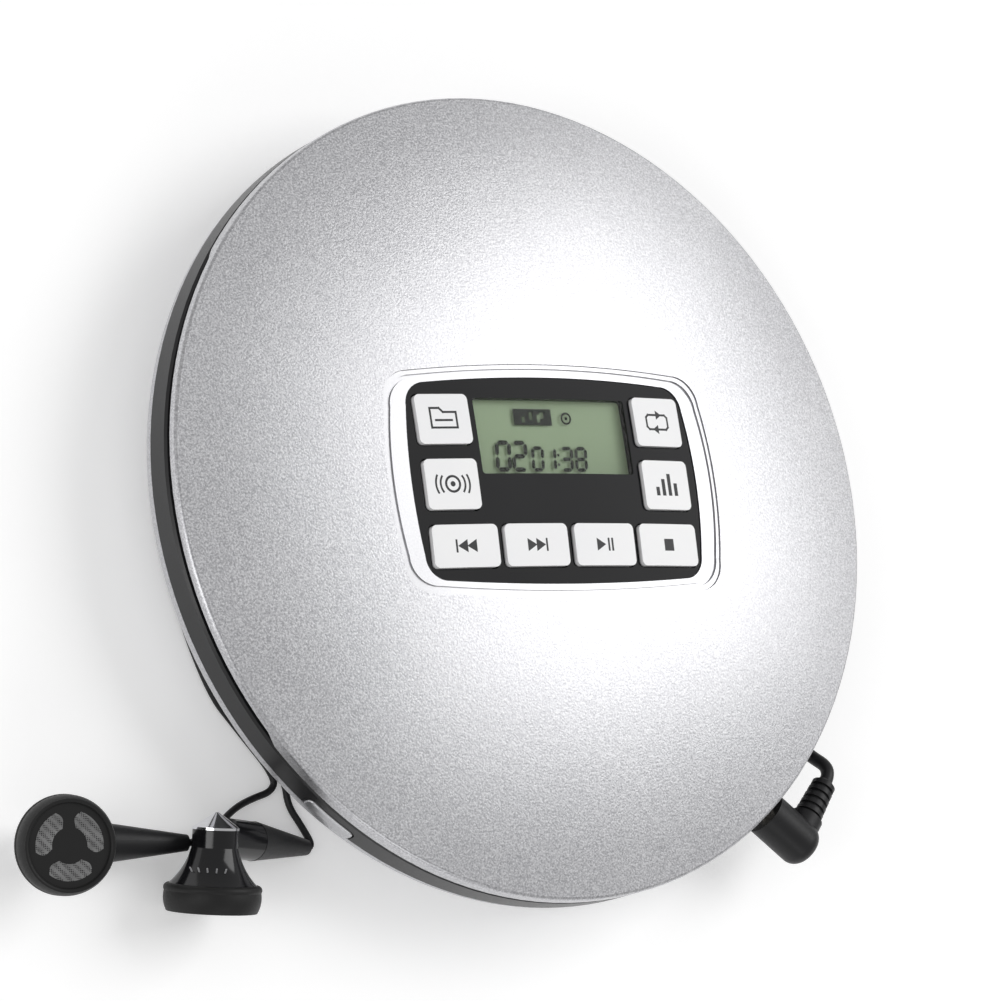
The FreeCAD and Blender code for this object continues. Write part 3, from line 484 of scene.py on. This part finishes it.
line = panel["iconLine"]
triangle = [(-0.75, -0.95), (0.85, 0.0), (-0.75, 0.95)]
mirrored = [(-x, y) for x, y in reversed(triangle)]
icons = {
    "key_back": (-21.2, -11.4, [bar(-1.75, -0.95, -1.45, 0.95)] + moved([mirrored], -0.55, 0)
                 + moved([mirrored], 0.95, 0)),
    "key_forward": (-7.1, -11.4, [bar(1.45, -0.95, 1.75, 0.95)] + moved([triangle], -0.95, 0)
                    + moved([triangle], 0.55, 0)),
    "key_play": (7.1, -11.4, moved([triangle], -0.8, 0)
                 + [bar(0.45, -0.95, 0.78, 0.95), bar(1.1, -0.95, 1.43, 0.95)]),
    "key_stop": (21.2, -11.4, [bar(-0.88, -0.88, 0.88, 0.88)]),
    "key_folder": (-22.4, 10.5, stroke(
        [(-2.1, -1.3), (2.1, -1.3), (2.1, 1.0), (0.0, 1.0), (-0.6, 1.6), (-2.1, 1.6), (-2.1, -1.3)],
        line) + stroke([(-1.3, -0.2), (1.3, -0.2)], line)),
    "key_skip_guard": (-22.4, -0.8, band(0, 0, 0.95, 1.3, 0, 360, 32) + band(0, 0, 0.0, 0.4, 0, 360, 16)
                       + band(0, 0, 1.85, 2.15, -38, 38) + band(0, 0, 1.85, 2.15, 142, 218)
                       + band(0, 0, 2.6, 2.9, -30, 30) + band(0, 0, 2.6, 2.9, 150, 210)),
    "key_mode": (22.4, 10.5, stroke(
        [(-0.8, 1.1), (-1.6, 1.1), (-2.0, 0.7), (-2.0, -0.7), (-1.6, -1.1), (0.6, -1.1)], line)
        + stroke([(0.8, -1.1), (1.6, -1.1), (2.0, -0.7), (2.0, 0.7), (1.6, 1.1), (-0.6, 1.1)], line)
        + [[(0.1, -1.8), (0.1, -0.4), (-0.95, -1.1)], [(-0.1, 0.4), (-0.1, 1.8), (0.95, 1.1)]]),
    "key_sound": (22.4, -0.8, [bar(-2.1 + 1.15 * i, -1.6, -1.45 + 1.15 * i, -1.6 + h)
                               for i, h in enumerate((1.3, 2.5, 3.3, 1.9))]),
}
for key, (cx, cy, shapes) in icons.items():
    grown = [[(x * panel["iconScale"], y * panel["iconScale"]) for x, y in shape] for shape in shapes]
    mesh = platesMesh(key + "Icon", moved(grown, cx, cy), onKey, panel["ink"])
    makeObject(key + "Icon", mesh, inkDark, key)
# each segment's two ends, counted in widths and half heights
segments = {"a": (0, 2, 1, 2), "b": (1, 1, 1, 2), "c": (1, 0, 1, 1), "d": (0, 0, 1, 0),
            "e": (0, 0, 0, 1), "f": (0, 1, 0, 2), "g": (0, 1, 1, 1)}
segmentGap = 0.62
digitParts = {"0": "abcdef", "1": "bc", "2": "abged", "3": "abgcd", "8": "abcdefg"}


def digit(text, x, y, width, height, weight, slant=0.08):
    plates = []
    for part in digitParts[text]:
        x0, y0, x1, y1 = segments[part]
        ax, ay, bx, by = x0 * width, y0 * height / 2, x1 * width, y1 * height / 2
        gap = weight * segmentGap
        if ay == by:
            ends = (ax + gap, ay), (bx - gap, by)
            side = (0, weight / 2)
        else:
            ends = (ax, ay + gap), (bx, by - gap)
            side = (weight / 2, 0)
        (sx, sy), (ex, ey) = ends
        tip = weight / 2
        along = (tip, 0) if ay == by else (0, tip)
        hexagon = [(sx - along[0], sy - along[1]), (sx + side[0], sy - side[1]),
                   (ex + side[0], ey - side[1]), (ex + along[0], ey + along[1]),
                   (ex - side[0], ey + side[1]), (sx - side[0], sy + side[1])]
        plates.append([(x + px + py * slant, y + py) for px, py in hexagon])
    return plates


bigDigit = {"y": 2.2, "width": 2.5, "height": 4.7, "weight": 0.78}
smallDigit = {"y": 2.2, "width": 2.0, "height": 3.8, "weight": 0.64}
readout = digit("0", -11.5, **bigDigit) + digit("2", -8.1, **bigDigit)
for text, x in (("0", -4.1), ("1", -1.5), ("3", 2.0), ("8", 5.0)):
    readout += digit(text, x, **smallDigit)
readout += [bar(1.1, 2.9, 1.55, 3.35), bar(1.2, 4.6, 1.65, 5.05)]
readout += band(4.1, 11.3, 0.75, 1.1, 0, 360, 28) + band(4.1, 11.3, 0.0, 0.3, 0, 360, 14)
block = [bar(-6.9, 10.0, 1.0, 10.55), bar(-6.9, 12.3, 1.0, 12.9), bar(-6.9, 10.55, -5.2, 12.3),
         bar(-0.6, 10.55, 1.0, 12.3), bar(-4.6, 10.55, -3.6, 12.3), bar(-3.0, 10.55, -2.0, 12.3),
         bar(-5.2, 11.5, -4.6, 12.3), bar(-1.4, 10.55, -0.6, 11.2), bar(-3.6, 10.55, -3.0, 11.0),
         bar(-2.0, 11.9, -1.4, 12.3)]
mesh = platesMesh("displayMarks", readout + block, lambda x, y: panel["displayTop"],
                  panel["displayInk"])
makeObject("displayMarks", mesh, segmentInk, "lid")
print("panel made")

# earpieces, in mm and degrees, each in its own face's frame
earFace = {
    "meshInner": 2.9, "meshOuter": 5.6, "meshSpan": 76.0, "meshTurn": 30.0, "meshBulge": 9,
    "meshHeight": -0.6, "meshThick": 0.04, "ventCount": 5, "ventStep": 15.0,
    "ventAt": (5.62, 0, -7.0), "ventTilt": -38, "ventSize": (0.1, 0.26, 1.1)}
earTurn = {"left": {"mesh": 0, "vents": 180.0}, "right": {"mesh": 40, "vents": 127.0}}


def seat(bud):
    turnTo = Vector((0, 0, 1)).rotation_difference(bud["look"])
    return Matrix.Translation(bud["face"] * mm) @ turnTo.to_matrix().to_4x4()


def ringPoint(radius, angle):
    a = math.radians(angle)
    return radius * math.cos(a), radius * math.sin(a)


def meshWindow(middle):
    # out along the outer arc, in by a bulged side, back along the inner arc, out again
    inner, outer, half = earFace["meshInner"], earFace["meshOuter"], earFace["meshSpan"] / 2
    bulge = [earFace["meshBulge"] * math.sin(math.pi * k / 6) for k in range(7)]
    ring = [ringPoint(outer, middle - half + k * half / 6) for k in range(13)]
    ring += [ringPoint(outer + (inner - outer) * k / 6, middle + half + bulge[k])
             for k in range(1, 6)]
    ring += [ringPoint(inner, middle + half - k * half / 6) for k in range(13)]
    ring += [ringPoint(inner + (outer - inner) * k / 6, middle - half - bulge[k])
             for k in range(1, 6)]
    return ring


for side, bud in buds.items():
    windows = [meshWindow(earFace["meshTurn"] + 120.0 * i + earTurn[side]["mesh"]) for i in range(3)]
    mesh = platesMesh("earMesh_" + side, windows, lambda x, y: earFace["meshHeight"],
                      earFace["meshThick"])
    mesh.transform(seat(bud))
    makeObject("earMesh_" + side, mesh, meshGrey, "base")
    build = bmesh.new()
    for k in range(earFace["ventCount"]):
        angle = math.radians(
            earTurn[side]["vents"] + (k - (earFace["ventCount"] - 1) / 2) * earFace["ventStep"])
        spot = (Matrix.Rotation(angle, 4, "Z")
                @ Matrix.Translation([v * mm for v in earFace["ventAt"]])
                @ Matrix.Rotation(math.radians(earFace["ventTilt"]), 4, "Y"))
        size = Matrix.Diagonal((*(v * mm for v in earFace["ventSize"]), 1.0))
        bmesh.ops.create_cube(build, size=1.0, matrix=spot @ size)
    mesh = bpy.data.meshes.new("vents_" + side)
    build.to_mesh(mesh)
    build.free()
    mesh.transform(seat(bud))
    makeObject("vents_" + side, mesh, ventGrey, "base")
print("earpieces made")

# floor, world and soft lights; each light faces the player from its own direction
studio = {"floor": (0.9, 0.9, 0.9), "paper": (0.91, 0.91, 0.91), "floorGlow": 0.27,
          "floorHalf": 6, "floorAt": -0.0002, "world": 0.46, "tone": "Standard", "lights": {
    "overLight": {"from": (0.60, 0.20, 0.77), "distance": 1.3, "size": (0.8, 0.95), "watts": 7.0},
    "sideLight": {"from": (-0.90, -0.12, 0.42), "distance": 1.2, "size": (0.35, 0.9), "watts": 3.0},
    "frontLight": {"from": (-0.15, -0.95, 0.55), "distance": 1.5, "size": (0.7, 0.4), "watts": 2.0}}}
mesh = bpy.data.meshes.new("floor")
half, height = studio["floorHalf"], studio["floorAt"]
mesh.from_pydata([(-half, -half, height), (half, -half, height), (half, half, height),
                  (-half, half, height)], [], [(0, 1, 2, 3)])
floor = bpy.data.objects.new("floor", mesh)
bpy.context.scene.collection.objects.link(floor)
r = Recipe("floorWhite")
paper = r.noise(90.0, 3.0)
mesh.materials.append(r.finish(
    Base_Color=r.mix(paper, studio["floor"], studio["paper"]), Roughness=0.8,
    Emission_Color=(1.0, 1.0, 1.0), Emission_Strength=studio["floorGlow"]))
world = bpy.data.worlds.new("world")
world.use_nodes = True
world.node_tree.nodes["Background"].inputs[0].default_value = (1, 1, 1, 1)
world.node_tree.nodes["Background"].inputs[1].default_value = studio["world"]
bpy.context.scene.world = world
bpy.context.scene.view_settings.view_transform = studio["tone"]
for name, light in studio["lights"].items():
    lampData = bpy.data.lights.new(name, "AREA")
    lampData.shape, lampData.energy = "RECTANGLE", light["watts"]
    lampData.size, lampData.size_y = light["size"]
    lamp = bpy.data.objects.new(name, lampData)
    bpy.context.scene.collection.objects.link(lamp)
    aim = Vector(light["from"]).normalized()
    face = aim.to_track_quat("Z", "Y").to_matrix().to_4x4()
    lamp.matrix_world = Matrix.Translation(aim * light["distance"]) @ face
print("lights made")
